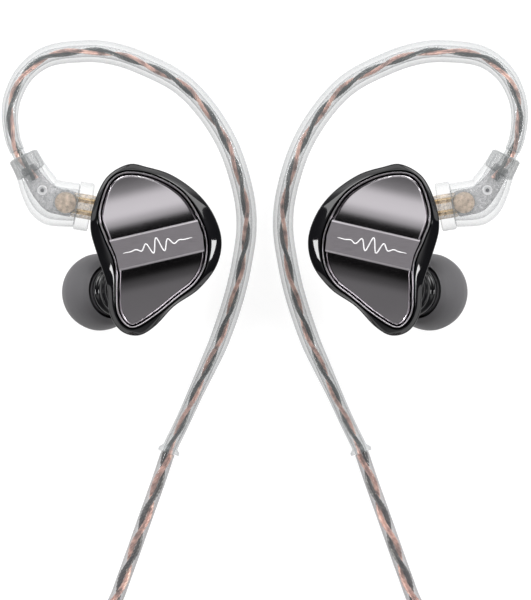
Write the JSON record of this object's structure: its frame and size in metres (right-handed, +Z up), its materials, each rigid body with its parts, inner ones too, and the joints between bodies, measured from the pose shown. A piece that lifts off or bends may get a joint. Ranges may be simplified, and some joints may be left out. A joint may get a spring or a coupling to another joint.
{
  "type": "in ear monitors",
  "caption": "In ear monitors with glossy shells, polished face plates, silicone tips and a detachable clear over-ear cable stored in coils with a round jack plug.",
  "frame": {"origin": "on the table, midway between the two earphones: bottom centre of the box round the earphones, plugs and ear hooks", "axes": "+X towards the right earphone, +Y towards the top of the ear hooks, +Z up from the table, out of the face plates"},
  "size_m": [0.0786, 0.1833, 0.0201],
  "materials": {
    "gloss_black": "high gloss moulded",
    "gunmetal": "polished dark plating",
    "grey_silicone": "soft translucent satin",
    "clear_plastic": "clear glossy",
    "clear_cord": "clear jacket over twisted copper and silvered strands",
    "grey_core": "satin moulded",
    "gold": "gold plated",
    "steel": "stamped, fine brushed",
    "dark_magnet": "nickel-dark, satin",
    "copper": "bare and enamelled copper",
    "film": "thin film",
    "black_plastic": "fine matt grain"
  },
  "bodies": {
    "cable": {"jack_housing": "black_plastic", "jack_insulator": "black_plastic", "jack_ring": "gold", "jack_sleeve": "gold", "jack_strain_relief": "black_plastic", "jack_tip": "gold", "left_branch_coil": "clear_cord", "left_branch_cord": "clear_cord", "left_branch_lead": "clear_cord", "left_coil_tie": "black_plastic", "left_hook_sleeve": "clear_plastic", "left_hook_wires": "copper", "left_pin_lower": "gold", "left_pin_upper": "gold", "left_plug_core": "grey_core", "left_plug_housing": "clear_plastic", "main_coil": "clear_cord", "main_coil_tie": "black_plastic", "main_cord": "clear_cord", "main_lead": "clear_cord", "right_branch_coil": "clear_cord", "right_branch_cord": "clear_cord", "right_branch_lead": "clear_cord", "right_coil_tie": "black_plastic", "right_hook_sleeve": "clear_plastic", "right_hook_wires": "copper", "right_pin_lower": "gold", "right_pin_upper": "gold", "right_plug_core": "grey_core", "right_plug_housing": "clear_plastic", "y_splitter": "clear_plastic"},
    "left_earphone": {"left_shell": "gloss_black", "left_face_plate": "gunmetal", "left_nozzle": "gunmetal", "left_nozzle_mesh": "steel", "left_driver_frame": "steel", "left_driver_magnet": "dark_magnet", "left_voice_coil": "copper", "left_diaphragm": "film", "left_socket_block": "black_plastic", "left_socket_contact_upper": "gold", "left_socket_contact_lower": "gold", "left_driver_lead": "copper"},
    "right_earphone": {"right_shell": "gloss_black", "right_face_plate": "gunmetal", "right_nozzle": "gunmetal", "right_nozzle_mesh": "steel", "right_driver_frame": "steel", "right_driver_magnet": "dark_magnet", "right_voice_coil": "copper", "right_diaphragm": "film", "right_socket_block": "black_plastic", "right_socket_contact_upper": "gold", "right_socket_contact_lower": "gold", "right_driver_lead": "copper"},
    "left_ear_tip": {"left_ear_tip": "grey_silicone"},
    "right_ear_tip": {"right_ear_tip": "grey_silicone"},
    "chin_slider": {"chin_slider": "clear_plastic"}
  },
  "joints": [
    {"name": "left_earphone_pull", "type": "slide", "parent": "cable", "child": "left_earphone", "axis": [0.9863, -0.165, 0], "range_m": [0, 0.0052]},
    {"name": "left_ear_tip_pull", "type": "slide", "parent": "left_earphone", "child": "left_ear_tip", "axis": [-0.521, -0.05, -0.8521], "range_m": [0, 0.0075]},
    {"name": "right_earphone_pull", "type": "slide", "parent": "cable", "child": "right_earphone", "axis": [-0.9863, -0.165, 0], "range_m": [0, 0.0052]},
    {"name": "right_ear_tip_pull", "type": "slide", "parent": "right_earphone", "child": "right_ear_tip", "axis": [0.521, -0.05, -0.8521], "range_m": [0, 0.0075]},
    {"name": "chin_slider_slide", "type": "slide", "parent": "cable", "child": "chin_slider", "axis": [0, 1, 0], "range_m": [0, 0.013]}
  ]
}
